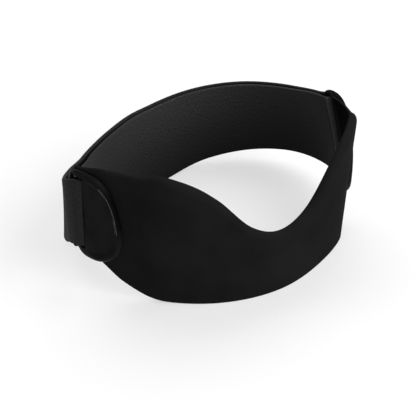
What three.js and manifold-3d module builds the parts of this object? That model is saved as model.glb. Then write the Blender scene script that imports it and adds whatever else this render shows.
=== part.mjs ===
// Knee strap, closed as it is worn and standing on its lower edge: a contoured front band,
// a slotted plate at each end of it, and one back strap folded through both slots.
// Millimetres, +Z up, the front faces -Y.
import * as THREE from "three";
import { mergeVertices } from "three/addons/utils/BufferGeometryUtils.js";
import Module from "manifold-3d";

// The loop from above. turn runs from the front towards +X, in degrees. radius reaches the wall's
// inner face at LEAN_HEIGHT, and lean tips the wall outwards at its top, in degrees.
const LOOP = [
  { turn: 0, radius: 60.5, lean: 9 },
  { turn: 30, radius: 58.5, lean: 8.5 },
  { turn: 60, radius: 61, lean: 3.5 },
  { turn: 90, radius: 63.5, lean: -7 },
  { turn: 120, radius: 64.5, lean: -6.5 },
  { turn: 150, radius: 60, lean: 3.5 },
  { turn: 180, radius: 53, lean: 13 },
  { turn: 210, radius: 51, lean: 4 },
  { turn: 240, radius: 58, lean: -5.5 },
  { turn: 255, radius: 64, lean: -4 },
  { turn: 270, radius: 70.5, lean: 2 },
  { turn: 285, radius: 76, lean: 6 },
  { turn: 300, radius: 70, lean: 8.5 },
  { turn: 315, radius: 65.5, lean: 10.5 },
  { turn: 330, radius: 62.5, lean: 7.5 },
];
const LEAN_HEIGHT = 20;

// The front band's edges on either side of its centre. along is measured on the loop.
const BAND_EDGES = [
  { along: 0, top: 35, low: 0 },
  { along: 14, top: 41, low: 0 },
  { along: 30, top: 59.5, low: 0 },
  { along: 50, top: 74, low: 0.5 },
  { along: 62, top: 72.5, low: 3.5 },
  { along: 72, top: 73, low: 10 },
  { along: 79, top: 73, low: 17.5 },
  { along: 86, top: 72, low: 25 },
];
const BAND_END = { right: 83, left: 87 };
// The band thins out under the plates, over this stretch on either side.
const BAND_THICK = 4;
const END_THICK = 2;
const THIN_FROM = 52;
const THIN_TO = 68;
const BAND_ROUND = 0.8;
// Each end is scooped out halfway up, to let the strap past, and slants back from low to top.
const SCOOP = 10;
const SCOOP_FROM = 55;
const END_SLANT = { right: 8, left: 0 };
// The left end's top corner reaches further back, above the strap.
const END_PEAK = { right: 0, left: 4 };
const PEAK_FROM = 0.86;
const PEAK_TO = 0.97;
// The right wing sags by this much, over this stretch of the band.
const SAG = 10.5;
const SAG_FROM = 30;
const SAG_TO = 84;
// The left wing's top edge drops by this much towards its end.
const END_DROP = 3;
const DROP_FROM = 74;
const DROP_TO = 88;

// The strap's lower edge from the right slot, 0, round the back to the left slot, 1.
const STRAP_EDGE = [
  { part: 0, low: 20 },
  { part: 0.25, low: 8 },
  { part: 0.5, low: 0 },
  { part: 0.75, low: 1.5 },
  { part: 0.9, low: 11 },
  { part: 1, low: 27.5 },
];
const STRAP_WIDTH = 38;
const LAYER = 1.7;
const STRAP_ROUND = 0.4;
const CLEARANCE = 0.3;
const RIGHT_FLAP = 75;
const FLAP_ENDS_APART = 0.5;
// From the slot, where each layer leaves the bar and the run over which it comes back to the loop.
const INNER_LEAVES = 9;
const INNER_RUN = 26;
const FLAP_LEAVES = 5;
const FLAP_RUN = { right: 6, left: 12 };
// The left flap bulges outwards by this much over its first stretch.
const BULGE = 1.3;
const BULGE_RUN = 60;
// The strap follows the plates' tilt at the slots and is upright again this far from them.
const UPRIGHT = 40;

// Slotted plate: lengths from the slot's middle, forwards to the tip and back past the bar.
const SLOT_ALONG = { right: 84.5, left: 88.5 };
const SLOT_WIDTH = 5.2;
const SLOT_TALL = STRAP_WIDTH + 2.8;
const SLOT_ROUND = 1;
// How far the slot's cut reaches under the plate and over it.
const SLOT_UNDER = 3;
const SLOT_OVER = 6;
const PLATE_TIP = 17.5;
const PLATE_BAR = 7;
const PLATE_MIDDLE = 4;
const PLATE_HALF_TALL = 24.5;
const TIP_POWER = 2.5;
const BAR_POWER = 2.7;
// The tip is fuller below than above, and the outline lies this much lower than the slot.
const TIP_SKEW = 0.3;
const PLATE_DROP = 1;
// Each plate's top tilts towards the back, in degrees.
const PLATE_TILT = { right: 17, left: -3 };
// The plate's thickness from its middle, 0, to its outline, 1. rim is raised on the tip's side alone.
const PLATE_RINGS = [
  { reach: 0.2, thick: 1.9, rim: 0 },
  { reach: 0.5, thick: 1.9, rim: 0 },
  { reach: 0.7, thick: 1.9, rim: 0 },
  { reach: 0.8, thick: 1.9, rim: 0 },
  { reach: 0.86, thick: 1.9, rim: 0.8 },
  { reach: 0.93, thick: 1.8, rim: 1.1 },
  { reach: 1, thick: 1.1, rim: 0.5 },
];
const PLATE_UNDER = [1, 0.8, 0.6, 0.4, 0.2];
const PLATE_SIDES = 48;

// Hook patch that holds each flap's end to the layer under it.
const PATCH_THICK = 0.8;
const PATCH_ROUND = 0.2;
const PATCH_LONG = 30;
const PATCH_INSET = 4;

const STEP = 3;
// Steps up a face of the band and of the strap.
const BAND_ROWS = 16;
const STRAP_ROWS = 6;
const TURN_STEPS = 720;

// A smooth curve through a table's rows: column read against key.
function smooth(rows, key, column, at) {
  let i = rows.findIndex((row) => row[key] > at) - 1;
  if (i < 0) i = at < rows[0][key] ? 0 : rows.length - 2;
  const slope = (k) => {
    const a = rows[Math.max(k - 1, 0)];
    const b = rows[Math.min(k + 1, rows.length - 1)];
    return (b[column] - a[column]) / (b[key] - a[key]);
  };
  const [from, to] = [rows[i], rows[i + 1]];
  const span = to[key] - from[key];
  const t = (at - from[key]) / span;
  const rise = t * t * (3 - 2 * t);
  const leave = t * (1 - t) * (1 - t) * span * slope(i);
  const arrive = t * t * (t - 1) * span * slope(i + 1);
  return from[column] + (to[column] - from[column]) * rise + leave + arrive;
}

// The loop's table repeated a turn before and a turn after, so that it closes smoothly.
const loopRows = [-360, 0, 360].flatMap((shift) =>
  LOOP.map((row) => ({ ...row, turn: row.turn + shift })),
);

function planPoint(turn) {
  const radius = smooth(loopRows, "turn", "radius", turn);
  const angle = THREE.MathUtils.degToRad(turn);
  return new THREE.Vector2(radius * Math.sin(angle), -radius * Math.cos(angle));
}

// Distance along the loop at every turn step.
const travelled = [0];
for (let i = 1; i <= TURN_STEPS; i++) {
  const before = planPoint(((i - 1) * 360) / TURN_STEPS);
  travelled.push(travelled[i - 1] + planPoint((i * 360) / TURN_STEPS).distanceTo(before));
}
const LOOP_LENGTH = travelled[TURN_STEPS];
const SLOT_TO_SLOT = LOOP_LENGTH - SLOT_ALONG.right - SLOT_ALONG.left;
const LEFT_FLAP = SLOT_TO_SLOT - RIGHT_FLAP - FLAP_ENDS_APART;

function turnAt(along) {
  const distance = THREE.MathUtils.euclideanModulo(along, LOOP_LENGTH);
  const i = Math.max(travelled.findIndex((d) => d > distance), 1);
  const part = (distance - travelled[i - 1]) / (travelled[i] - travelled[i - 1]);
  return ((i - 1 + part) * 360) / TURN_STEPS;
}

function leanAt(along) {
  return THREE.MathUtils.degToRad(smooth(loopRows, "turn", "lean", turnAt(along)));
}

// A point of the loop's wall: along it, at a height, and out from its inner face.
function wallPoint(along, height, out) {
  const turn = turnAt(along);
  const nudge = 0.1;
  const tangent = planPoint(turn + nudge).sub(planPoint(turn - nudge)).normalize();
  const reach = out + Math.tan(leanAt(along)) * (height - LEAN_HEIGHT);
  const plan = planPoint(turn);
  return new THREE.Vector3(plan.x + tangent.y * reach, plan.y - tangent.x * reach, height);
}

function sagAt(along) {
  return SAG * THREE.MathUtils.smoothstep(along, SAG_FROM, SAG_TO);
}

// The band's table mirrored about its centre.
const leftRows = BAND_EDGES.slice(1).map((row) => ({ ...row, along: -row.along }));
const bandRows = [...leftRows.reverse(), ...BAND_EDGES];

function bandEdges(along) {
  const drop = END_DROP * THREE.MathUtils.smoothstep(-along, DROP_FROM, DROP_TO);
  const top = smooth(bandRows, "along", "top", along) - sagAt(along) - drop;
  const low = smooth(bandRows, "along", "low", along) - sagAt(along);
  return { low: Math.max(low, 0), top };
}

function strapEdges(along) {
  const distance = THREE.MathUtils.euclideanModulo(along, LOOP_LENGTH);
  const part = (distance - SLOT_ALONG.right) / SLOT_TO_SLOT;
  const low = Math.max(smooth(STRAP_EDGE, "part", "low", Math.min(part, 1)), 0);
  return { low, top: low + STRAP_WIDTH * Math.cos(leanAt(along)) };
}

// A closed skin over rings of points that all have the same count, with both ends filled.
function loft(rings) {
  const count = rings[0].length;
  const points = rings.flat();
  const faces = [];
  for (let r = 0; r + 1 < rings.length; r++) {
    for (let k = 0; k < count; k++) {
      const next = (k + 1) % count;
      const [a, b] = [r * count + k, r * count + next];
      faces.push(a, b, b + count, a, b + count, a + count);
    }
  }
  const last = (rings.length - 1) * count;
  faces.push(...endFaces(0, count).reverse(), ...endFaces(last, count));
  return facingOut(points, faces);
}

// Triangles that fill a ring straight across, step by step from the side where it starts.
function endFaces(start, count) {
  const faces = [];
  for (let k = 0; k + 1 < count / 2; k++) {
    const [a, b] = [start + ((k - 1 + count) % count), start + k];
    const [c, d] = [start + count - 3 - k, start + count - 2 - k];
    faces.push(a, b, c, a, c, d);
  }
  return faces;
}

// Geometry from points and triangles, turned round where its faces point inwards.
function facingOut(points, faces) {
  let volume = 0;
  for (let i = 0; i < faces.length; i += 3) {
    const [a, b, c] = [points[faces[i]], points[faces[i + 1]], points[faces[i + 2]]];
    volume += a.dot(new THREE.Vector3().crossVectors(b, c));
  }
  const geometry = new THREE.BufferGeometry().setFromPoints(points);
  geometry.setIndex(volume < 0 ? faces.slice().reverse() : faces);
  return geometry;
}

// One cross-section of a wall: two faces with points up them, and edges that are cut round. place
// gives each of them its point.
function wallRing(low, top, inner, outer, round, rows, place) {
  const heights = stations(low + round, top - round, rows);
  const face = (out) => heights.map((height) => place(out, height));
  const edge = (height, outs) => outs.map((out) => place(out, height));
  const [near, far] = [inner + round, outer - round];
  const [up, down] = [face(inner), face(outer).reverse()];
  return [...up, ...edge(top, [near, far]), ...down, ...edge(low, [far, near])];
}

function stations(from, to, count = Math.ceil(Math.abs(to - from) / STEP)) {
  return Array.from({ length: count + 1 }, (_, i) => from + ((to - from) * i) / count);
}

// A band station's points lie nearer the front where the end is scooped out or slants.
function endCut(along, part) {
  const side = along > 0 ? "right" : "left";
  const share = THREE.MathUtils.smoothstep(Math.abs(along), SCOOP_FROM, BAND_END[side]);
  const cut = SCOOP * 4 * part * (1 - part) + END_SLANT[side] * (1 - part);
  const peak = END_PEAK[side] * THREE.MathUtils.smoothstep(part, PEAK_FROM, PEAK_TO);
  return along - Math.sign(along) * share * (cut - peak);
}

function bandThick(along) {
  const thinned = THREE.MathUtils.smoothstep(Math.abs(along), THIN_FROM, THIN_TO);
  return THREE.MathUtils.lerp(BAND_THICK, END_THICK, thinned);
}

function bandRing(along) {
  const { low, top } = bandEdges(along);
  const place = (out, height) =>
    wallPoint(endCut(along, (height - low) / (top - low)), height, out);
  return wallRing(low, top, 0, bandThick(along), BAND_ROUND, BAND_ROWS, place);
}

function bandGeometry() {
  return loft(stations(-BAND_END.left, BAND_END.right).map(bandRing));
}

// Heights of the strap's layers out from the loop, as middles: at the bar and at the back.
const PLATE_OUT = END_THICK + CLEARANCE;
const BAR_GAP = 0.35;
const INNER_AT_BAR = PLATE_OUT - BAR_GAP - LAYER / 2;
const FLAP_AT_BAR = PLATE_OUT + PLATE_RINGS[0].thick + BAR_GAP + LAYER / 2;
const INNER_AT_BACK = LAYER / 2;
const FLAP_AT_BACK = LAYER * 1.5 + PATCH_THICK + 2 * CLEARANCE;
const FOLD_RADIUS = (FLAP_AT_BAR - INNER_AT_BAR) / 2;
const FOLD_BACK = FOLD_RADIUS - SLOT_WIDTH / 2 + LAYER / 2 + CLEARANCE;
const FOLD_STEPS = 10;
const TILT = {
  right: THREE.MathUtils.degToRad(PLATE_TILT.right),
  left: THREE.MathUtils.degToRad(PLATE_TILT.left),
};

function innerOut(back) {
  const returned = THREE.MathUtils.smoothstep(back, INNER_LEAVES, INNER_LEAVES + INNER_RUN);
  return THREE.MathUtils.lerp(INNER_AT_BAR, INNER_AT_BACK, returned);
}

function flapOut(back, run, bulge) {
  const returned = THREE.MathUtils.smoothstep(back, FLAP_LEAVES, FLAP_LEAVES + run);
  const part = THREE.MathUtils.clamp((back - FLAP_LEAVES) / BULGE_RUN, 0, 1);
  const swell = bulge * Math.sin(Math.PI * part) ** 2;
  return THREE.MathUtils.lerp(FLAP_AT_BAR, FLAP_AT_BACK, returned) + swell;
}

// The strap's middle line on one side, from the flap's free end over the bar and into the slot.
// back is the distance from the slot towards the back of the loop.
function flapLine(flap, run, bulge) {
  const line = stations(flap, FOLD_BACK).map((back) => ({ back, out: flapOut(back, run, bulge) }));
  for (let i = 1; i < FOLD_STEPS; i++) {
    const angle = (Math.PI * i) / FOLD_STEPS;
    const back = FOLD_BACK - FOLD_RADIUS * Math.sin(angle);
    line.push({ back, out: INNER_AT_BAR + FOLD_RADIUS * (1 + Math.cos(angle)) });
  }
  return line;
}

const onRight = ({ back, out }) => ({ along: SLOT_ALONG.right + back, out });
const onLeft = ({ back, out }) => ({ along: LOOP_LENGTH - SLOT_ALONG.left - back, out });

function strapLine() {
  const half = SLOT_TO_SLOT / 2;
  const inside = stations(FOLD_BACK, half).map((back) => ({ back, out: innerOut(back) }));
  const right = [...flapLine(RIGHT_FLAP, FLAP_RUN.right, 0), ...inside].map(onRight);
  const left = [...flapLine(LEFT_FLAP, FLAP_RUN.left, BULGE), ...inside.slice(0, -1)].map(onLeft);
  return [...right, ...left.reverse()];
}

// How far a strap's point lies along for each millimetre above the strap's middle, near a slot.
function strapShear(along) {
  const shear = (tilt, back) =>
    Math.tan(tilt) * (1 - THREE.MathUtils.smoothstep(back, FLAP_LEAVES, UPRIGHT));
  const right = shear(TILT.right, along - SLOT_ALONG.right);
  return right - shear(TILT.left, LOOP_LENGTH - SLOT_ALONG.left - along);
}

function strapGeometry() {
  const line = strapLine();
  const rings = line.map(({ along, out }, i) => {
    const before = line[Math.max(i - 1, 0)];
    const after = line[Math.min(i + 1, line.length - 1)];
    const across = new THREE.Vector2(before.out - after.out, after.along - before.along).normalize();
    const { low, top } = strapEdges(along);
    const place = (shift, height) => {
      const slip = strapShear(along) * (height - (low + top) / 2);
      return wallPoint(along + across.x * shift + slip, height, out + across.y * shift);
    };
    return wallRing(low, top, -LAYER / 2, LAYER / 2, STRAP_ROUND, STRAP_ROWS, place);
  });
  return loft(rings);
}

function patchGeometry(flap, side) {
  const rings = stations(flap - PATCH_INSET, flap - PATCH_INSET - PATCH_LONG).map((back) => {
    const { along } = side({ back, out: 0 });
    const { low, top } = strapEdges(along);
    const place = (out, height) => wallPoint(along, height, out);
    const inner = LAYER + CLEARANCE;
    const outer = inner + PATCH_THICK;
    const [from, to] = [low + PATCH_INSET, top - PATCH_INSET];
    return wallRing(from, to, inner, outer, PATCH_ROUND, STRAP_ROWS, place);
  });
  return loft(rings);
}

// The plate's outline as a distance from its middle: round at the tip, squarer at the bar.
function plateReach(angle) {
  const forwards = Math.cos(angle);
  const power = forwards > 0 ? TIP_POWER : BAR_POWER;
  const length = forwards > 0 ? PLATE_TIP - PLATE_MIDDLE : PLATE_BAR + PLATE_MIDDLE;
  const flat = Math.abs(forwards / length) ** power;
  const tall = Math.abs(Math.sin(angle) / PLATE_HALF_TALL) ** power;
  return (flat + tall) ** (-1 / power);
}

// A plate's own coordinates put on the wall, from the middle of its slot.
function platePlacer(side) {
  const sign = side === "right" ? 1 : -1;
  const { low, top } = strapEdges(sign * SLOT_ALONG[side]);
  const turned = new THREE.Vector2();
  return (forwards, up, thick) => {
    turned.set(forwards, up).rotateAround(new THREE.Vector2(), TILT[side]);
    const height = (low + top) / 2 + turned.y;
    return wallPoint(sign * (SLOT_ALONG[side] - turned.x), height, PLATE_OUT + thick);
  };
}

function plateGeometry(side) {
  const place = platePlacer(side);
  const angles = Array.from({ length: PLATE_SIDES }, (_, k) => (2 * Math.PI * k) / PLATE_SIDES);
  const ring = (reach, thickAt) =>
    angles.map((angle) => {
      const distance = reach * plateReach(angle);
      const up = distance * Math.sin(angle);
      const level = distance * Math.cos(angle);
      const skew = level > 0 ? 1 - (TIP_SKEW * up) / PLATE_HALF_TALL : 1;
      const forwards = PLATE_MIDDLE + level * skew;
      return place(forwards, up - PLATE_DROP, thickAt(forwards));
    });
  const [rimFrom, rimFull] = [SLOT_WIDTH / 2, PLATE_MIDDLE + SLOT_WIDTH];
  const onTipSide = (forwards) => THREE.MathUtils.smoothstep(forwards, rimFrom, rimFull);
  const upper = PLATE_RINGS.map(({ reach, thick, rim }) =>
    ring(reach, (forwards) => thick + rim * onTipSide(forwards)),
  );
  const under = PLATE_UNDER.map((reach) => ring(reach, () => 0));
  return loft([...upper, ...under]);
}

// The slot's room, from below the plate to above it.
function slotGeometry(side) {
  const place = platePlacer(side);
  const [tall, wide] = [SLOT_TALL / 2, SLOT_WIDTH / 2];
  const rings = [-SLOT_UNDER, SLOT_OVER].map((thick) => {
    const at = (forwards, up) => place(forwards, up, thick);
    return wallRing(-tall, tall, -wide, wide, SLOT_ROUND, STRAP_ROWS, at);
  });
  return loft(rings);
}

const wasm = await Module();
wasm.setup();

function toSolid(geometry) {
  const merged = mergeVertices(geometry);
  const vertProperties = merged.attributes.position.array;
  const triVerts = new Uint32Array(merged.index.array);
  return new wasm.Manifold(new wasm.Mesh({ numProp: 3, vertProperties, triVerts }));
}

function fromSolid(solid) {
  const { vertProperties, triVerts } = solid.getMesh();
  const geometry = new THREE.BufferGeometry();
  geometry.setAttribute("position", new THREE.BufferAttribute(vertProperties, 3));
  geometry.setIndex(new THREE.BufferAttribute(triVerts, 1));
  return geometry;
}

function slottedPlate(side) {
  return fromSolid(toSolid(plateGeometry(side)).subtract(toSolid(slotGeometry(side))));
}

const neoprene = new THREE.MeshStandardMaterial({ color: 0x151515, roughness: 0.8, metalness: 0 });
const loopFabric = new THREE.MeshStandardMaterial({ color: 0x1d1d1e, roughness: 0.95, metalness: 0 });
const plastic = new THREE.MeshStandardMaterial({ color: 0x121213, roughness: 0.35, metalness: 0 });
const hookTape = new THREE.MeshStandardMaterial({ color: 0x101010, roughness: 0.9, metalness: 0 });

const kneeStrap = new THREE.Group();

function add(name, geometry, material) {
  geometry.computeVertexNormals();
  const mesh = new THREE.Mesh(geometry, material);
  mesh.name = name;
  kneeStrap.add(mesh);
}

add("front_band", bandGeometry(), neoprene);
add("plate_right", slottedPlate("right"), plastic);
add("plate_left", slottedPlate("left"), plastic);
add("back_strap", strapGeometry(), loopFabric);
add("hook_patch_right", patchGeometry(RIGHT_FLAP, onRight), hookTape);
add("hook_patch_left", patchGeometry(LEFT_FLAP, onLeft), hookTape);

// The origin is under the middle of the strap's box, on the surface that it stands on.
const box = new THREE.Box3().setFromObject(kneeStrap);
const middle = box.getCenter(new THREE.Vector3());
for (const mesh of kneeStrap.children) {
  mesh.position.set(-middle.x, -middle.y, -box.min.z);
}

export default kneeStrap;
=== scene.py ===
"""Looks of a knee strap that stands closed on a white floor: a neoprene front band, two moulded plates
and a loop-fabric strap folded through them. Sizes are in millimetres and angles in degrees. Meshes are
made in metres."""
import math

import bpy
import numpy as np
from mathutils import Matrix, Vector


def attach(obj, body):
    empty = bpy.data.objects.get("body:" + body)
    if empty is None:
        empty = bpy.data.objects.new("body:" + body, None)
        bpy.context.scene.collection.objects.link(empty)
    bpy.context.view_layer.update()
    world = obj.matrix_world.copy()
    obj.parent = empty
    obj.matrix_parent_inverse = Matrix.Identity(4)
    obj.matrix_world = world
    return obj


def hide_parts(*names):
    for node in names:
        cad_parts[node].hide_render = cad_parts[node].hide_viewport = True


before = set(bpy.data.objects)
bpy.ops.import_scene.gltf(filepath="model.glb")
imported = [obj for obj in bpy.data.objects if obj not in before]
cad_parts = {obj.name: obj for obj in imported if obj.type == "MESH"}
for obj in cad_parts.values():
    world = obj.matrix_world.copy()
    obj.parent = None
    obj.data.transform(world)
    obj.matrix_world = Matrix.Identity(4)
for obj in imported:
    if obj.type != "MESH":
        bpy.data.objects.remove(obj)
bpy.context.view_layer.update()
MM = 0.001

# The middle of the loop in the part's own frame.
LOOP_CENTRE = (7.644, 2.186)
# The loop from above: radius of the wall's inner face at LEAN_HEIGHT, and how the wall leans outwards.
LOOP = [
    {"turn": 0, "radius": 60.5, "lean": 9},
    {"turn": 30, "radius": 58.5, "lean": 8.5},
    {"turn": 60, "radius": 61, "lean": 3.5},
    {"turn": 90, "radius": 63.5, "lean": -7},
    {"turn": 120, "radius": 64.5, "lean": -6.5},
    {"turn": 150, "radius": 60, "lean": 3.5},
    {"turn": 180, "radius": 53, "lean": 13},
    {"turn": 210, "radius": 51, "lean": 4},
    {"turn": 240, "radius": 58, "lean": -5.5},
    {"turn": 255, "radius": 64, "lean": -4},
    {"turn": 270, "radius": 70.5, "lean": 2},
    {"turn": 285, "radius": 76, "lean": 6},
    {"turn": 300, "radius": 70, "lean": 8.5},
    {"turn": 315, "radius": 65.5, "lean": 10.5},
    {"turn": 330, "radius": 62.5, "lean": 7.5},
]
LOOP_ROWS = [{**row, "turn": row["turn"] + shift} for shift in (-360, 0, 360) for row in LOOP]
LEAN_HEIGHT = 20

# The front band's edges on either side of its centre.
BAND_EDGES = [
    {"along": 0, "top": 35, "low": 0},
    {"along": 14, "top": 41, "low": 0},
    {"along": 30, "top": 59.5, "low": 0},
    {"along": 50, "top": 74, "low": 0.5},
    {"along": 62, "top": 72.5, "low": 3.5},
    {"along": 72, "top": 73, "low": 10},
    {"along": 79, "top": 73, "low": 17.5},
    {"along": 86, "top": 72, "low": 25},
]
BAND_EDGE_ROWS = [{**row, "along": -row["along"]} for row in BAND_EDGES[:0:-1]] + BAND_EDGES
BAND_END = {"right": 83, "left": 87}
# The band thins out under the plates, over this stretch on either side.
BAND_THICK = 4
END_THICK = 2
THIN_FROM = 52
THIN_TO = 68
BAND_ROUND = 0.8
# The outer top edge is rounder: this far across the thickness, and this far down.
TOP_ROUND_ACROSS = 3
TOP_ROUND_DOWN = 4.5
# Each end is scooped out halfway up, to let the strap past, and slants back from low to top.
SCOOP = 10
SCOOP_FROM = 55
END_SLANT = {"right": 8, "left": 0}
# The left end's top corner reaches further back, above these shares of the end's height.
END_PEAK = {"right": 0, "left": 4}
PEAK_FROM = 0.86
PEAK_TO = 0.97
# The right wing sags by this much, over this stretch of the band.
SAG = 10.5
SAG_FROM = 30
SAG_TO = 84
# The left wing's top edge drops by this much towards its end.
END_DROP = 3
DROP_FROM = 74
DROP_TO = 88

# The strap's lower edge from the right slot, 0, round the back to the left slot, 1.
STRAP_EDGE = [
    {"part": 0, "low": 20},
    {"part": 0.25, "low": 8},
    {"part": 0.5, "low": 0},
    {"part": 0.75, "low": 1.5},
    {"part": 0.9, "low": 11},
    {"part": 1, "low": 27.5},
]
STRAP_WIDTH = 38
LAYER = 1.7
STRAP_ROUND = 0.6
CLEARANCE = 0.3
RIGHT_FLAP = 75
FLAP_ENDS_APART = 0.1
# How far the strap's cut ends are rounded.
CUT_ROUND = 0.2
# From the slot, where each layer leaves the bar and the run over which it comes back to the loop.
INNER_LEAVES = 9
INNER_RUN = 26
FLAP_LEAVES = 5
FLAP_RUN = {"right": 6, "left": 12}
# The left flap bulges outwards by this much over its first stretch.
BULGE = {"right": 0, "left": 1.3}
BULGE_RUN = 60
# The strap follows the plates' tilt at the slots and is upright again this far from them.
UPRIGHT = 40
PATCH_THICK = 0.8

# Slotted plate: lengths from the slot's middle, forwards to the tip and back past the bar.
SLOT_ALONG = {"right": 84.5, "left": 88.5}
SLOT_WIDTH = 5.2
SLOT_TALL = STRAP_WIDTH + 2.8
PLATE_TIP = 17.5
PLATE_BAR = 7
PLATE_MIDDLE = 4
PLATE_HALF_TALL = 24.5
TIP_POWER = 2.5
BAR_POWER = 2.7
# The tip is fuller below than above, and the outline lies this much lower than the slot.
TIP_SKEW = 0.3
PLATE_DROP = 1
# Each plate's top tilts towards the back by this much, or towards the front where it is negative.
PLATE_TILT = {"right": 17, "left": -3}
PLATE_THICK = 1.9
PLATE_OUT = END_THICK + CLEARANCE
BAR_GAP = 0.35
# The plate's top from its middle, 0, to its outline, 1. rim is raised on the tip's side alone.
PLATE_TOP = [
    {"reach": 0, "thick": 1.9, "rim": 0},
    {"reach": 0.74, "thick": 1.9, "rim": 0},
    {"reach": 0.79, "thick": 1.9, "rim": 0},
    {"reach": 0.81, "thick": 1.9, "rim": 0.2},
    {"reach": 0.86, "thick": 1.9, "rim": 1},
    {"reach": 0.88, "thick": 1.9, "rim": 1.2},
    {"reach": 0.92, "thick": 1.8, "rim": 1.1},
    {"reach": 0.97, "thick": 1.4, "rim": 0.7},
    {"reach": 1, "thick": 0.7, "rim": 0.3},
]
# The plate is divided more finely from this share of the way between slot and outline. Its outer side ends
# at this share of its height, and its underside starts at this share of the way.
FINE_FROM = 0.5
SIDE_LOW = 0.25
UNDER_FROM = 0.985
# The rim's inner slope is polished between these reaches, ahead of and above these places.
POLISHED_FROM = 0.79
POLISHED_TO = 0.89
POLISHED_AHEAD = 8.5
POLISHED_ABOVE = -6
# The rim's crest lies beyond this reach. Painted shade darkens it between these heights, most so in these
# shares.
CREST_FROM = 0.88
CREST_LOW = 34
CREST_TOP = 68
CREST_DARK_FROM = 0.3
CREST_DARK_TO = 0.7

# The strap's middle line out from the loop's wall, at the bar and at the back.
INNER_AT_BAR = PLATE_OUT - BAR_GAP - LAYER / 2
FLAP_AT_BAR = PLATE_OUT + PLATE_THICK + BAR_GAP + LAYER / 2
INNER_AT_BACK = LAYER / 2
FLAP_AT_BACK = LAYER * 1.5 + PATCH_THICK + 2 * CLEARANCE
# The fold lies round the bar, with this gap to the slot's front side.
SLOT_GAP = 0.12
FOLD_RADIUS = (FLAP_AT_BAR - INNER_AT_BAR) / 2
FOLD_BACK = FOLD_RADIUS - SLOT_WIDTH / 2 + LAYER / 2 + SLOT_GAP

# How finely the pieces are divided.
STATION_STEP = 1.0
ROUNDED_END_STEPS = 6
BAND_FACE_ROWS = 40
BAND_CORNER_STEPS = 6
STRAP_FACE_ROWS = 24
STRAP_CORNER_STEPS = 4
INSIDE_STATIONS = 110
FOLD_STATIONS = 24
PLATE_STATIONS = 240
PANEL_RINGS = 8
RIM_RINGS = 40
SIDE_RINGS = 3
OUTLINE_SAMPLES = 2001
# Half the thickness that is left where a rounded end is thinnest.
LEAST_HALF = 0.02
# The least length that is divided by.
NEAR_ZERO = 1e-6

# Greys of cloth and tape: the darkest and the lightest of the pattern, and one plain grey for the whole.
SHADES = {
    "neoprene": {"dark": 0.0076, "light": 0.0101, "plain": 0.0101},
    # Painted shade: darker neoprene greys for the band's inner face.
    "painted_inner_shade": {"dark": 0.002, "light": 0.003, "plain": 0.003},
    "loop_fabric": {"dark": 0.0092, "light": 0.0265, "plain": 0.016},
    # Painted light: paler greys where the strap turns into the right slot.
    "worn": {"dark": 0.05, "light": 0.08},
    # The backing's dark grey is painted shade in the gap beside the left fold.
    "strap_backing": {"dark": 0.0025, "light": 0.014, "plain": 0.0025},
    "hook_tape": {"dark": 0.005, "light": 0.015, "plain": 0.009},
}
CLOTH_SPECULAR = 0.004
PANEL_SHADE = 0.008
SLOPE_SHADE = 0.005
# Painted shade on the rim's crest.
CREST_PAINTED_SHADE = 0.0025
# The plastic's colour and roughness vary between these multiples.
SHADE_SPREAD = (0.8, 1.25)
ROUGHNESS_SPREAD = (0.85, 1.15)
# How much painted light the strap has along the stretch where it turns into the right slot.
PAINTED_LIGHT_STOPS = [(0.05, 0), (0.2, 0.5), (0.7, 0.6), (0.8, 1), (0.9, 0)]
# Painted shade and light on the strap's inside: how much of it from the right fold to the left, and the
# multiple of the colour from the low edge, darker, to the top, paler.
INSIDE_STOPS = [(0, 0), (0.1, 1), (0.5, 1), (0.75, 0.35), (1, 0)]
SHADE_STOPS = [(0, 0.5), (0.4, 0.85), (0.7, 1.25), (1, 1.55)]
# A Mix node's sockets for colours.
MIX_FIRST = 6
MIX_SECOND = 7
MIX_RESULT = 2

# Camera: where the picture's middle lies from the loop's middle, and how it is looked at.
VIEW_AZIMUTH = -29.5
VIEW_ELEVATION = 32.4
VIEW_DISTANCE = 1212
VIEW_HEIGHT = 22
VIEW_RIGHT = -1.18
VIEW_UP = -8.72
VIEW_LENS = 221.3
# Stage, in metres and watts. The floor glows so that its shadows stay pale.
VIEW_REACH = 20
FLOOR_HALF = 3.0
FLOOR_SHADE = 0.35
FLOOR_GLOW = 0.52
SKY_STRENGTH = 0.2
LIGHTS_AIM = (0, 0, 0.03)
LIGHTS = [
    {"name": "back", "place": (0.15, 0.85, 1.0), "size": 2.0, "power": 24},
    {"name": "front_right", "place": (0.58, -1.1, 0.95), "size": 1.8, "power": 33},
    {"name": "front_left", "place": (-0.7, -1.1, 0.85), "size": 0.8, "power": 2.4},
]


def smooth(rows, key, column, at):
    """A smooth curve through a table's rows: column read against key."""
    x = np.array([row[key] for row in rows], float)
    y = np.array([row[column] for row in rows], float)
    slope = np.gradient(y, x)
    slope[1:-1] = (y[2:] - y[:-2]) / (x[2:] - x[:-2])
    at = np.asarray(at, float)
    i = np.clip(np.searchsorted(x, at, side="right") - 1, 0, len(x) - 2)
    span = x[i + 1] - x[i]
    t = (at - x[i]) / span
    rise = t * t * (3 - 2 * t)
    leave = t * (1 - t) ** 2 * span * slope[i]
    arrive = t * t * (t - 1) * span * slope[i + 1]
    return y[i] + (y[i + 1] - y[i]) * rise + leave + arrive


def ease(at, start, end):
    """0 before start, 1 after end, and smooth between them."""
    t = np.clip((np.asarray(at, float) - start) / (end - start), 0, 1)
    return t * t * (3 - 2 * t)


def mixed(a, b, share):
    return a + (b - a) * share


def travelled(x, y):
    """The length of a line of points up to each of them."""
    return np.concatenate([[0], np.cumsum(np.hypot(np.diff(x), np.diff(y)))])


def plan_point(turn):
    """Points of the loop seen from above, at angles from its front."""
    radius = smooth(LOOP_ROWS, "turn", "radius", turn)
    angle = np.radians(turn)
    return np.stack([radius * np.sin(angle), -radius * np.cos(angle)], -1)


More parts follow.
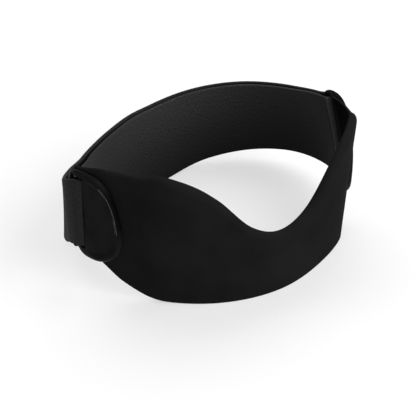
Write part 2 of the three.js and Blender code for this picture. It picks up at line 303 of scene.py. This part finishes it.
# Lengths that follow from the loop's plan.
TURNS = np.linspace(0, 360, 2 * 360 + 1)
LOOP_STEPS = np.linalg.norm(np.diff(plan_point(TURNS), axis=0), axis=1)
LOOP_LENGTHS = np.concatenate([[0], np.cumsum(LOOP_STEPS)])
LOOP_LENGTH = LOOP_LENGTHS[-1]
SLOT_TO_SLOT = LOOP_LENGTH - SLOT_ALONG["right"] - SLOT_ALONG["left"]
LEFT_FLAP = SLOT_TO_SLOT - RIGHT_FLAP - FLAP_ENDS_APART

# Places along the strap from the right flap's end: about where it folds, and where light is painted on it
# at the turn into the right slot.
RIGHT_FOLD = RIGHT_FLAP
LEFT_FOLD = RIGHT_FLAP + SLOT_TO_SLOT
PAINTED_LIGHT_TO = RIGHT_FOLD + 6.5
# The left flap's lower edge is drawn up behind the fold by this much, and comes down further back.
EDGE_LIFT = 3
LIFT_FROM = LEFT_FOLD + 10
LIFT_FULL = LEFT_FOLD + 25
LIFT_FALLS = LEFT_FOLD + 40
LIFT_TO = LEFT_FOLD + 80
# Where the painted shade on the strap's back, in the gap beside the left fold, gives way to its paler
# colour.
PALE_FROM = LEFT_FOLD + 24
PALE_TO = LEFT_FOLD + 44


def turn_at(along):
    return np.interp(np.mod(along, LOOP_LENGTH), LOOP_LENGTHS, TURNS)


def lean_at(along):
    return np.radians(smooth(LOOP_ROWS, "turn", "lean", turn_at(along)))


def wall_point(along, height, out):
    """Points of the loop's wall, in metres: along it, at a height, and out from its inner face."""
    along, height, out = np.broadcast_arrays(along, height, out)
    turn = turn_at(along)
    nudge = 0.1
    tangent = plan_point(turn + nudge) - plan_point(turn - nudge)
    tangent /= np.linalg.norm(tangent, axis=-1, keepdims=True)
    reach = out + np.tan(lean_at(along)) * (height - LEAN_HEIGHT)
    plan = plan_point(turn)
    x = plan[..., 0] + tangent[..., 1] * reach + LOOP_CENTRE[0]
    y = plan[..., 1] - tangent[..., 0] * reach + LOOP_CENTRE[1]
    return np.stack([x, y, height], -1) * MM


def band_edges(along):
    """The band's low and top edges, with the right wing's sag and the left wing's drop."""
    sag = SAG * ease(along, SAG_FROM, SAG_TO)
    drop = END_DROP * ease(-np.asarray(along, float), DROP_FROM, DROP_TO)
    top = smooth(BAND_EDGE_ROWS, "along", "top", along) - sag - drop
    low = smooth(BAND_EDGE_ROWS, "along", "low", along) - sag
    return np.maximum(low, 0), top


def strap_edges(along):
    """The strap's low and top edges on the loop's wall."""
    part = (np.mod(along, LOOP_LENGTH) - SLOT_ALONG["right"]) / SLOT_TO_SLOT
    low = np.maximum(smooth(STRAP_EDGE, "part", "low", np.minimum(part, 1)), 0)
    return low, low + STRAP_WIDTH * np.cos(lean_at(along))


def rounded_section(rows, corner_steps):
    """A wall's cross-section as (side, rise, corner x, corner y): side and rise are -1 to 1 on the
    faces, and the corner's x and y say how far round an edge the point lies."""
    up = np.linspace(-1, 1, rows)
    turn = np.linspace(0, math.pi / 2, corner_steps + 2)[1:-1]
    section = [(-1, v, -1, 0) for v in up]
    section += [(-1, 1, -math.cos(a), math.sin(a)) for a in turn]
    section += [(-1, 1, 0, 1), (1, 1, 0, 1)]
    section += [(1, 1, math.sin(a), math.cos(a)) for a in turn]
    section += [(1, v, 1, 0) for v in up[::-1]]
    section += [(1, -1, math.cos(a), -math.sin(a)) for a in turn]
    section += [(1, -1, 0, -1), (-1, -1, 0, -1)]
    section += [(-1, -1, -math.sin(a), -math.cos(a)) for a in turn]
    return np.array(section, float)


def section_points(section, low, top, half, across, down):
    """Shift across the wall and height of each point of a section, for each of the stations. The edges'
    rounding, across the wall and down it, is given for each point."""
    side, rise, corner_x, corner_y = section.T
    low, top, half = (np.asarray(v, float)[:, None] for v in (low, top, half))
    shift = side * (half - across) + corner_x * across
    height = (low + top) / 2 + rise * ((top - low) / 2 - down) + corner_y * down
    return shift, height


def grid_faces(stations, ring, closed):
    """Quads between neighbouring rings, which close on themselves, and between the ends if closed."""
    faces = []
    for r in range(stations if closed else stations - 1):
        here, there = r * ring, ((r + 1) % stations) * ring
        for k in range(ring):
            n = (k + 1) % ring
            faces.append((here + k, here + n, there + n, there + k))
    return faces


def end_faces(start, ring, corner_steps):
    """Quads that fill a wall's end straight across, from its low edge to its top edge."""
    faces = []
    inner, outer = ring - 1 - corner_steps, ring - 2 - corner_steps
    for k in range(ring // 2 - 1):
        near = ((inner + k) % ring, (inner + k + 1) % ring)
        far = ((outer - k) % ring, (outer - k - 1) % ring)
        faces.append((start + near[0], start + near[1], start + far[1], start + far[0]))
    return faces


def wall_faces(stations, ring, corner_steps):
    """The skin of a wall and both its ends."""
    last = (stations - 1) * ring
    first_end = [face[::-1] for face in end_faces(0, ring, corner_steps)]
    return grid_faces(stations, ring, closed=False) + first_end + end_faces(last, ring, corner_steps)


def add_piece(name, points, faces, material, uv=None):
    """A smooth mesh that rides on the strap's one body, with its faces turned outwards."""
    mesh = bpy.data.meshes.new(name)
    mesh.from_pydata([tuple(p) for p in points.reshape(-1, 3)], [], faces)
    if uv is not None:
        layer = mesh.uv_layers.new(name="cloth")
        corners = np.zeros(len(mesh.loops), np.int32)
        mesh.loops.foreach_get("vertex_index", corners)
        layer.data.foreach_set("uv", uv.reshape(-1, 2)[corners].astype(np.float32).ravel())
    piece = bpy.data.objects.new(name, mesh)
    bpy.context.scene.collection.objects.link(piece)
    face_outwards(mesh)
    mesh.shade_smooth()
    mesh.materials.append(material)
    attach(piece, "root")
    return piece


def face_outwards(mesh):
    """Turns all faces over where the volume that they hold is negative."""
    mesh.calc_loop_triangles()
    co = np.zeros(len(mesh.vertices) * 3, np.float32)
    mesh.vertices.foreach_get("co", co)
    co = co.reshape(-1, 3)
    tri = np.array([t.vertices for t in mesh.loop_triangles])
    a, b, c = (co[tri[:, i]] for i in range(3))
    if (a * np.cross(b, c)).sum() < 0:
        mesh.flip_normals()


def line_wall(piece, material, stations, ring, first_row, face_rows):
    """A second material on one face of a wall's skin, whose rows start at first_row of the section."""
    piece.data.materials.append(material)
    for face in piece.data.polygons[: (stations - 1) * ring]:
        row = face.index % ring
        face.material_index = 1 if first_row <= row < first_row + face_rows - 1 else 0


def end_rounding(distance, radius):
    """How far a wall's rounded end draws in, at a distance from the end."""
    short = np.clip(radius - distance, 0, radius)
    return radius - np.sqrt(radius ** 2 - short ** 2)


def thinned(half, drawn_in):
    """Half a wall's thickness, less what its rounded ends draw in."""
    return half - np.minimum(drawn_in, half - LEAST_HALF)


def end_stations(start, stop, radius):
    """Stations between two ends, closer together where the ends are rounded."""
    count = int(math.ceil((stop - start) / STATION_STEP))
    inner = np.linspace(start + radius, stop - radius, count)
    angle = np.linspace(0, math.pi / 2, ROUNDED_END_STEPS + 1)
    quarter = radius * (1 - np.cos(angle))[:-1]
    return np.concatenate([start + quarter, inner, (stop - quarter)[::-1]])


def by_side(along, values):
    """A value for the right on the right side, and one for the left on the left side."""
    return np.where(np.asarray(along) > 0, values["right"], values["left"])


def end_cut(along, part):
    """A band station's points lie nearer the front where the end is scooped out or slants, and further
    back at the left end's top corner."""
    share = ease(np.abs(along), SCOOP_FROM, by_side(along, BAND_END))
    cut = SCOOP * 4 * part * (1 - part) + by_side(along, END_SLANT) * (1 - part)
    peak = by_side(along, END_PEAK) * ease(part, PEAK_FROM, PEAK_TO)
    return along - np.sign(along) * share * (cut - peak)


def band_rounding(section, half):
    """The rounding of the band's edges, across it and down it, which is larger on the outer top edge."""
    outer_top = (section[:, 0] > 0) & (section[:, 1] > 0)
    fullness = half[:, None] / (BAND_THICK / 2)
    across = np.where(outer_top, TOP_ROUND_ACROSS, BAND_ROUND) * fullness
    down = np.where(outer_top, TOP_ROUND_DOWN, BAND_ROUND) * fullness
    return across, down


def make_band(outside, painted_inner_shade):
    """The front band, with painted shade on its inner face: darker neoprene greys there."""
    along = end_stations(-BAND_END["left"], BAND_END["right"], BAND_ROUND)
    low, top = band_edges(along)
    thick = mixed(BAND_THICK, END_THICK, ease(np.abs(along), THIN_FROM, THIN_TO))
    drawn_in = end_rounding(by_side(along, BAND_END) - np.abs(along), BAND_ROUND)
    half = thinned(thick / 2, drawn_in)
    section = rounded_section(BAND_FACE_ROWS, BAND_CORNER_STEPS)
    across, down = band_rounding(section, half)
    shift, height = section_points(section, low + drawn_in, top - drawn_in, half, across, down)
    part = (height - low[:, None]) / (top - low)[:, None]
    points = wall_point(end_cut(along[:, None], part), height, thick[:, None] / 2 + shift)
    faces = wall_faces(len(along), len(section), BAND_CORNER_STEPS)
    uv = np.stack([np.broadcast_to(along[:, None], height.shape), height], -1) * MM
    piece = add_piece("band_neoprene", points, faces, outside, uv)
    # The inner face gets the darker greys of painted shade.
    line_wall(piece, painted_inner_shade, len(along), len(section), 0, BAND_FACE_ROWS)
    return piece


def flap_line(side, flap):
    """One side's flap from its free end over the bar and into the slot, as back and out."""
    back = end_stations(FOLD_BACK, flap, CUT_ROUND)[::-1]
    out = mixed(FLAP_AT_BAR, FLAP_AT_BACK, ease(back, FLAP_LEAVES, FLAP_LEAVES + FLAP_RUN[side]))
    out += BULGE[side] * np.sin(math.pi * np.clip((back - FLAP_LEAVES) / BULGE_RUN, 0, 1)) ** 2
    angle = np.linspace(0, math.pi, FOLD_STATIONS + 2)[1:-1]
    fold = FOLD_BACK - FOLD_RADIUS * np.sin(angle)
    fold_out = INNER_AT_BAR + FOLD_RADIUS * (1 + np.cos(angle))
    return np.concatenate([back, fold]), np.concatenate([out, fold_out])


def strap_line():
    """The strap's middle line from the right flap's end to the left flap's end, as along and out."""
    inside = np.linspace(FOLD_BACK, SLOT_TO_SLOT / 2, INSIDE_STATIONS)
    inner = mixed(INNER_AT_BAR, INNER_AT_BACK, ease(inside, INNER_LEAVES, INNER_LEAVES + INNER_RUN))
    right_back, right_out = flap_line("right", RIGHT_FLAP)
    left_back, left_out = flap_line("left", LEFT_FLAP)
    right = SLOT_ALONG["right"] + np.concatenate([right_back, inside])
    left = LOOP_LENGTH - SLOT_ALONG["left"] - np.concatenate([left_back, inside[:-1]])
    along = np.concatenate([right, left[::-1]])
    out = np.concatenate([right_out, inner, np.concatenate([left_out, inner[:-1]])[::-1]])
    return along, out


def strap_shear(along):
    """How far a strap's point lies along for each millimetre above the strap's middle, near a slot."""
    back = {"right": along - SLOT_ALONG["right"], "left": LOOP_LENGTH - SLOT_ALONG["left"] - along}
    shear = {
        side: math.tan(math.radians(PLATE_TILT[side])) * (1 - ease(back[side], FLAP_LEAVES, UPRIGHT))
        for side in back
    }
    return shear["right"] - shear["left"]


def strap_lift(length):
    """How far the strap's lower edge is drawn up, at lengths from the right flap's end."""
    return EDGE_LIFT * (ease(length, LIFT_FROM, LIFT_FULL) - ease(length, LIFT_FALLS, LIFT_TO))


def make_strap(face, backing):
    """The strap and its length. Its backing is on the side that faces outwards between the slots."""
    along, out = strap_line()
    step_along, step_out = np.gradient(along), np.gradient(out)
    size = np.hypot(step_along, step_out)
    across_along, across_out = -step_out / size, step_along / size
    length = travelled(along, out)
    low, top = strap_edges(along)
    low = low + strap_lift(length)
    half = thinned(LAYER / 2, end_rounding(np.minimum(length, length[-1] - length), CUT_ROUND))
    section = rounded_section(STRAP_FACE_ROWS, STRAP_CORNER_STEPS)
    rounding = np.minimum(STRAP_ROUND, half)[:, None]
    shift, height = section_points(section, low, top, half, rounding, rounding)
    slip = strap_shear(along)[:, None] * (height - (low + top)[:, None] / 2)
    points = wall_point(
        along[:, None] + across_along[:, None] * shift + slip,
        height,
        out[:, None] + across_out[:, None] * shift,
    )
    faces = wall_faces(len(along), len(section), STRAP_CORNER_STEPS)
    uv = np.stack([np.broadcast_to(length[:, None], height.shape), height - low[:, None]], -1) * MM
    piece = add_piece("strap_loop_fabric", points, faces, face, uv)
    far_face = STRAP_FACE_ROWS + 2 * STRAP_CORNER_STEPS + 2
    line_wall(piece, backing, len(along), len(section), far_face, STRAP_FACE_ROWS)
    return piece, length[-1]


def plate_reach(angle):
    """The plate's outline as a distance from its middle: round at the tip, squarer at the bar."""
    forwards = np.cos(angle)
    power = np.where(forwards > 0, TIP_POWER, BAR_POWER)
    length = np.where(forwards > 0, PLATE_TIP - PLATE_MIDDLE, PLATE_BAR + PLATE_MIDDLE)
    flat = np.abs(forwards / length) ** power
    tall = np.abs(np.sin(angle) / PLATE_HALF_TALL) ** power
    return (flat + tall) ** (-1 / power)


def plate_point(reach, angle):
    """A point of the plate as forwards and up, with the tip fuller below than above."""
    up = reach * np.sin(angle)
    level = reach * np.cos(angle)
    skew = np.where(level > 0, 1 - TIP_SKEW * up / PLATE_HALF_TALL, 1)
    return PLATE_MIDDLE + level * skew, up - PLATE_DROP


def plate_share(forwards, up):
    """How far a point lies from the plate's middle, 0, to its outline, 1."""
    up = up + PLATE_DROP
    level = forwards - PLATE_MIDDLE
    level = np.where(level > 0, level / (1 - TIP_SKEW * up / PLATE_HALF_TALL), level)
    return np.clip(np.hypot(level, up) / plate_reach(np.arctan2(up, level)), 0, 1)


def plate_top(forwards, up):
    """The height of the plate's top face, with the raised rim on the tip's side."""
    share = plate_share(forwards, up)
    tip_side = ease(forwards, SLOT_WIDTH / 2, PLATE_MIDDLE + SLOT_WIDTH)
    return smooth(PLATE_TOP, "reach", "thick", share) + smooth(PLATE_TOP, "reach", "rim", share) * tip_side


def plate_outline():
    """Evenly spaced points of the plate's outline, as forwards and up."""
    angle = np.linspace(0, 2 * math.pi, OUTLINE_SAMPLES)
    x, y = plate_point(plate_reach(angle), angle)
    run = travelled(x, y)
    even = np.linspace(0, run[-1], PLATE_STATIONS, endpoint=False)
    return np.interp(even, run, x), np.interp(even, run, y)


def plate_section():
    """A ring from the slot, 0, to the outline, 1, and its shares of the plate's height: over the top,
    where it is finer towards the rim, down the outside, under and back to the slot."""
    panel = np.linspace(0, FINE_FROM, PANEL_RINGS)
    rim = np.linspace(FINE_FROM, 1, RIM_RINGS + 1)[1:]
    outside = np.linspace(1, SIDE_LOW, SIDE_RINGS + 1)[1:]
    under = [UNDER_FROM, 0]
    share = np.concatenate([panel, rim, np.ones(len(outside)), under])
    height = np.concatenate([np.ones(len(panel) + len(rim)), outside, np.zeros(len(under))])
    return share, height


def plate_rings():
    """The plate as rings round its slot: forwards and up from the slot's middle, and thick."""
    x, y = plate_outline()
    to_sides = SLOT_WIDTH / 2 / np.maximum(np.abs(x), NEAR_ZERO)
    to_ends = SLOT_TALL / 2 / np.maximum(np.abs(y), NEAR_ZERO)
    slot = np.minimum(to_sides, to_ends)[:, None]
    share, height = plate_section()
    span = slot + (1 - slot) * share
    forwards, up = x[:, None] * span, y[:, None] * span
    return forwards, up, plate_top(forwards, up) * height


def lay_plate(side, forwards, up, thick):
    """A plate's points, tilted and laid on the band's wall."""
    tilt = math.radians(PLATE_TILT[side])
    ahead = forwards * math.cos(tilt) - up * math.sin(tilt)
    above = up * math.cos(tilt) + forwards * math.sin(tilt)
    sign = 1 if side == "right" else -1
    low, top = strap_edges(np.array([sign * SLOT_ALONG[side]]))
    return wall_point(sign * (SLOT_ALONG[side] - ahead), (low + top) / 2 + above, PLATE_OUT + thick)


def finish_rim(piece, forwards, up, slope, crest):
    """The polished slope inside the rim, and the rim's crest on the tip's side."""
    piece.data.materials.append(slope)
    piece.data.materials.append(crest)
    shares = plate_share(forwards, up).ravel()
    lit_side = ((forwards > POLISHED_AHEAD) & (up > POLISHED_ABOVE)).ravel()
    tip_side = (forwards > PLATE_MIDDLE).ravel()
    for face in piece.data.polygons:
        corners = list(face.vertices)
        nearest, farthest = shares[corners].min(), shares[corners].max()
        if nearest > CREST_FROM and tip_side[corners].all():
            face.material_index = 2
        elif nearest > POLISHED_FROM and farthest < POLISHED_TO and lit_side[corners].all():
            face.material_index = 1


def make_plate(side, panel, slope, crest):
    """A slotted plate, with a panel, a polished slope and a crest."""
    forwards, up, thick = plate_rings()
    points = lay_plate(side, forwards, up, thick)
    faces = grid_faces(*points.shape[:2], closed=True)
    piece = add_piece(f"plate_{side}_moulded", points, faces, panel)
    finish_rim(piece, forwards, up, slope, crest)
    return piece


def grey(value):
    """A grey that is very slightly blue."""
    return (value, value, value * 1.01)


class Look:
    """A Principled material, with short ways to add nodes to it and link them."""

    def __init__(self, name, colour, roughness, specular):
        self.material = bpy.data.materials.new(name)
        self.material.use_nodes = True
        self.nodes = self.material.node_tree.nodes
        self.link = self.material.node_tree.links.new
        self.inputs = self.nodes["Principled BSDF"].inputs
        self.inputs["Base Color"].default_value = (*colour, 1)
        self.inputs["Roughness"].default_value = roughness
        self.inputs["Specular IOR Level"].default_value = specular

    def add(self, kind, settings=None, **values):
        """A node with its settings, and with the values of its inputs by name."""
        node = self.nodes.new(kind)
        for key, value in (settings or {}).items():
            setattr(node, key, value)
        for key, value in values.items():
            node.inputs[key.replace("_", " ")].default_value = value
        return node

    def coordinates(self, kind):
        return self.add("ShaderNodeTexCoord").outputs[kind]

    def axes(self, vector):
        """A vector's outputs X, Y and Z."""
        node = self.add("ShaderNodeSeparateXYZ")
        self.link(vector, node.inputs["Vector"])
        return node.outputs

    def noise(self, vector, scale, detail, roughness=0.5):
        node = self.add("ShaderNodeTexNoise", Scale=scale, Detail=detail, Roughness=roughness)
        self.link(vector, node.inputs["Vector"])
        return node.outputs["Fac"]

    def stretch(self, length, low, high):
        """0 to 1 between two lengths."""
        node = self.add("ShaderNodeMapRange", From_Min=low * MM, From_Max=high * MM)
        self.link(length, node.inputs["Value"])
        return node.outputs["Result"]

    def ramp(self, factor, stops):
        """A colour that changes along a factor, through stops of place and colour."""
        node = self.add("ShaderNodeValToRGB")
        elements = node.color_ramp.elements
        for end in (0, -1):
            place, colour = stops[end]
            elements[end].position = place
            elements[end].color = (*colour, 1)
        for place, colour in stops[1:-1]:
            elements.new(place).color = (*colour, 1)
        self.link(factor, node.inputs["Fac"])
        return node.outputs["Color"]

    def pattern(self, factor, dark, light, low=0.35, high=0.65):
        """A grey between dark and light, as a factor goes from low to high."""
        return self.ramp(factor, [(low, grey(dark)), (high, grey(light))])

    def shares(self, factor, stops):
        """Shares along a factor, through stops of place and share."""
        return self.ramp(factor, [(place, (share, share, share)) for place, share in stops])

    def mix(self, share, first, second, blend="MIX"):
        """A first colour, with a share of a second one blended in."""
        node = self.add("ShaderNodeMix", {"data_type": "RGBA", "blend_type": blend})
        self.link(share, node.inputs["Factor"])
        self.link(first, node.inputs[MIX_FIRST])
        self.link(second, node.inputs[MIX_SECOND])
        return node.outputs[MIX_RESULT]

    def bump(self, height, distance, strength):
        """Makes the surface uneven by a height, over a distance in metres."""
        node = self.add("ShaderNodeBump", Distance=distance, Strength=strength)
        self.link(height, node.inputs["Height"])
        self.link(node.outputs["Normal"], self.inputs["Normal"])


def neoprene_material(name):
    """Fine knit over neoprene, with faint clouds of colour."""
    shades = SHADES[name]
    look = Look(name, grey(shades["plain"]), roughness=0.75, specular=CLOTH_SPECULAR)
    place = look.coordinates("Object")
    clouds = look.noise(place, scale=45, detail=3)
    look.link(look.pattern(clouds, shades["dark"], shades["light"]), look.inputs["Base Color"])
    look.bump(look.noise(place, scale=2600, detail=1), distance=0.0002, strength=0.25)
    return look.material


def painted_inside_shading(look, uv, fabric):
    """The fabric's colour, with painted shade towards the lower edge of the strap's inside and painted
    light towards its top.
    """
    axes = look.axes(uv)
    inside = look.shares(look.stretch(axes["X"], RIGHT_FOLD, LEFT_FOLD), INSIDE_STOPS)
    # Painted shade low down and painted light near the top.
    shade = look.shares(look.stretch(axes["Y"], 0, STRAP_WIDTH), SHADE_STOPS)
    return look.mix(inside, fabric, shade, blend="MULTIPLY")


def loop_material():
    """Brushed loop fabric, with painted light at the turn into the right slot."""
    shades, worn_shades = SHADES["loop_fabric"], SHADES["worn"]
    look = Look("loop_fabric", grey(shades["plain"]), roughness=0.9, specular=CLOTH_SPECULAR)
    look.inputs["Sheen Weight"].default_value = 0.045
    look.inputs["Sheen Roughness"].default_value = 0.4
    uv = look.coordinates("UV")
    upright = look.add("ShaderNodeMapping", Scale=(1, 0.45, 1))
    look.link(uv, upright.inputs["Vector"])
    grain = look.noise(upright.outputs["Vector"], scale=2300, detail=3, roughness=0.7)
    fabric = painted_inside_shading(look, uv, look.pattern(grain, shades["dark"], shades["light"]))
    # Painted light on the strap where it turns into the right slot.
    worn = look.pattern(grain, worn_shades["dark"], worn_shades["light"])
    painted_light_share = look.shares(look.stretch(look.axes(uv)["X"], RIGHT_FOLD, PAINTED_LIGHT_TO), PAINTED_LIGHT_STOPS)
    look.link(look.mix(painted_light_share, fabric, worn), look.inputs["Base Color"])
    pile = look.noise(look.coordinates("Object"), scale=2600, detail=3, roughness=0.65)
    look.bump(pile, distance=0.0002, strength=0.4)
    return look.material


def backing_material():
    """The strap's back: painted shade where the left flap stands off beside the fold, and paler further
    along.
    """
    shades = SHADES["strap_backing"]
    look = Look("strap_backing", grey(shades["plain"]), roughness=0.8, specular=CLOTH_SPECULAR)
    further = look.stretch(look.axes(look.coordinates("UV"))["X"], PALE_FROM, PALE_TO)
    # Painted shade near the left fold, the backing's own paler grey further along.
    colour = look.pattern(further, shades["dark"], shades["light"], low=0, high=1)
    look.link(colour, look.inputs["Base Color"])
    pile = look.noise(look.coordinates("Object"), scale=1800, detail=3, roughness=0.65)
    look.bump(pile, distance=0.0004, strength=0.5)
    return look.material


def plate_material(name, shade, roughness, specular):
    """Moulded plastic, a little uneven in its colour and its gloss."""
    look = Look(name, grey(shade), roughness, specular)
    place = look.coordinates("Object")
    smoother, rougher = (roughness * share for share in ROUGHNESS_SPREAD)
    haze = look.add("ShaderNodeMapRange", To_Min=smoother, To_Max=rougher)
    look.link(look.noise(place, scale=300, detail=3), haze.inputs["Value"])
    look.link(haze.outputs["Result"], look.inputs["Roughness"])
    dark, light = (shade * share for share in SHADE_SPREAD)
    clouds = look.noise(place, scale=90, detail=2)
    look.link(look.pattern(clouds, dark, light), look.inputs["Base Color"])
    return look.material


def crest_material():
    """The rim's glossy crest: as pale as the panel at its ends, with painted shade between them."""
    pale, dark = grey(PANEL_SHADE), grey(CREST_PAINTED_SHADE)
    look = Look("glossy_plastic", pale, roughness=0.2, specular=0.01)
    height = look.stretch(look.axes(look.coordinates("Object"))["Z"], CREST_LOW, CREST_TOP)
    # Painted shade across the crest's middle heights.
    stops = [(0, pale), (CREST_DARK_FROM, dark), (CREST_DARK_TO, dark), (1, pale)]
    look.link(look.ramp(height, stops), look.inputs["Base Color"])
    return look.material


def hook_material():
    """Hook tape, with a dense field of tiny hooks."""
    shades = SHADES["hook_tape"]
    look = Look("hook_tape", grey(shades["plain"]), roughness=0.6, specular=0.3)
    hooks = look.noise(look.coordinates("Object"), scale=1400, detail=1)
    look.link(look.pattern(hooks, shades["dark"], shades["light"]), look.inputs["Base Color"])
    look.bump(hooks, distance=0.0004, strength=0.8)
    return look.material


def view_axes():
    """Right, up and forward directions of the camera."""
    azimuth, elevation = math.radians(VIEW_AZIMUTH), math.radians(VIEW_ELEVATION)
    right = Vector((math.cos(azimuth), math.sin(azimuth), 0))
    level = Vector((-math.sin(azimuth), math.cos(azimuth), 0))
    up = level * math.sin(elevation) + Vector((0, 0, math.cos(elevation)))
    forward = level * math.cos(elevation) - Vector((0, 0, math.sin(elevation)))
    return right, up, forward


def place_in_scene(name, data, place, direction):
    """A camera or a light at a place, looking in a direction."""
    thing = bpy.data.objects.new(name, data)
    thing.location = place
    thing.rotation_mode = "QUATERNION"
    thing.rotation_quaternion = direction.to_track_quat("-Z", "Y")
    bpy.context.scene.collection.objects.link(thing)
    return thing


def make_camera():
    """The photo's view, with colours shown as they are."""
    right, up, forward = view_axes()
    aim = Vector((*LOOP_CENTRE, VIEW_HEIGHT)) + right * VIEW_RIGHT + up * VIEW_UP
    data = bpy.data.cameras.new("camera")
    data.lens = VIEW_LENS
    data.clip_end = VIEW_REACH
    place = (aim - forward * VIEW_DISTANCE) * MM
    bpy.context.scene.camera = place_in_scene("camera", data, place, forward)
    bpy.context.scene.view_settings.view_transform = "Standard"


def make_floor():
    """A wide white floor to stand on."""
    mesh = bpy.data.meshes.new("floor")
    half = FLOOR_HALF
    corners = [(-half, -half, 0), (half, -half, 0), (half, half, 0), (-half, half, 0)]
    mesh.from_pydata(corners, [], [(0, 1, 2, 3)])
    floor = bpy.data.objects.new("floor", mesh)
    bpy.context.scene.collection.objects.link(floor)
    look = Look("white_floor", (FLOOR_SHADE, FLOOR_SHADE, FLOOR_SHADE), roughness=0.9, specular=0.0)
    look.inputs["Emission Color"].default_value = (1, 1, 1, 1)
    look.inputs["Emission Strength"].default_value = FLOOR_GLOW
    mesh.materials.append(look.material)


def make_sky():
    """Faint white light from all sides."""
    world = bpy.data.worlds.new("studio")
    world.use_nodes = True
    background = world.node_tree.nodes["Background"]
    background.inputs["Color"].default_value = (1, 1, 1, 1)
    background.inputs["Strength"].default_value = SKY_STRENGTH
    bpy.context.scene.world = world


def add_area_light(name, place, size, power):
    """A round soft light that shines at the strap."""
    data = bpy.data.lights.new(name, "AREA")
    data.shape = "DISK"
    data.size = size
    data.energy = power
    place_in_scene(name, data, place, Vector(LIGHTS_AIM) - Vector(place))


make_camera()
make_floor()
make_sky()
for light in LIGHTS:
    add_area_light(**light)

# The band's outside, and its inner face with painted shade.
band = make_band(neoprene_material("neoprene"), neoprene_material("painted_inner_shade"))
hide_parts("front_band")

strap, strap_length = make_strap(loop_material(), backing_material())
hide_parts("back_strap")

panel_plastic = plate_material("satin_plastic", PANEL_SHADE, roughness=0.4, specular=0.012)
slope_plastic = plate_material("polished_plastic", SLOPE_SHADE, roughness=0.26, specular=0.42)
crest_plastic = crest_material()
for side in ("right", "left"):
    plate = make_plate(side, panel_plastic, slope_plastic, crest_plastic)
    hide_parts("plate_" + side)

hook_tape = hook_material()
for node in ("hook_patch_right", "hook_patch_left"):
    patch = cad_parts[node]
    patch.data.materials.clear()
    patch.data.materials.append(hook_tape)
